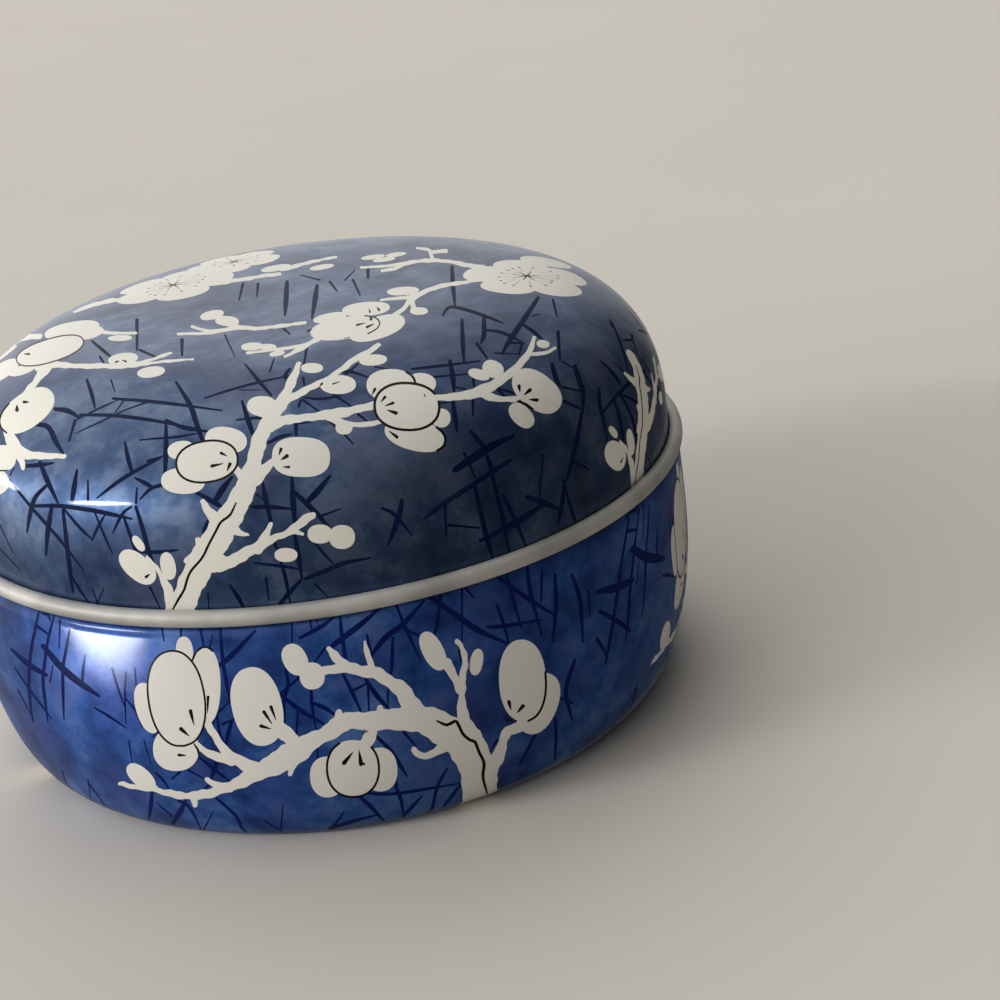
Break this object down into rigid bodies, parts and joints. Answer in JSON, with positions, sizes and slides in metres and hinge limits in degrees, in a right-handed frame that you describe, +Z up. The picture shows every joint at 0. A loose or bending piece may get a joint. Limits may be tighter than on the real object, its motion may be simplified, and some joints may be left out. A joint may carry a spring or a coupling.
{
  "type": "metal trinket box",
  "caption": "Round pressed-tin trinket box: a bulging body and a domed lift-off lid with a rolled bare-metal rim, printed with white prunus on cracked-ice blue.",
  "frame": {"origin": "on the table, under the centre of the tin", "axes": "+Z up, along the tin's axis; -Y towards the viewer of the picture"},
  "size_m": [0.089, 0.089, 0.05],
  "materials": {
    "body_print": "glossy clear lacquer over a cobalt print with white blossom branches and dark cracked-ice strokes",
    "lid_print": "glossy clear lacquer over a slate-blue print with white blossom branches and dark cracked-ice strokes",
    "bare_tinplate": "bare tinplate, satin, lightly rubbed, on the rolled rim and inside both pieces"
  },
  "bodies": {
    "root": {"tin_body": "body_print", "tin_lid": "lid_print"}
  },
  "joints": []
}
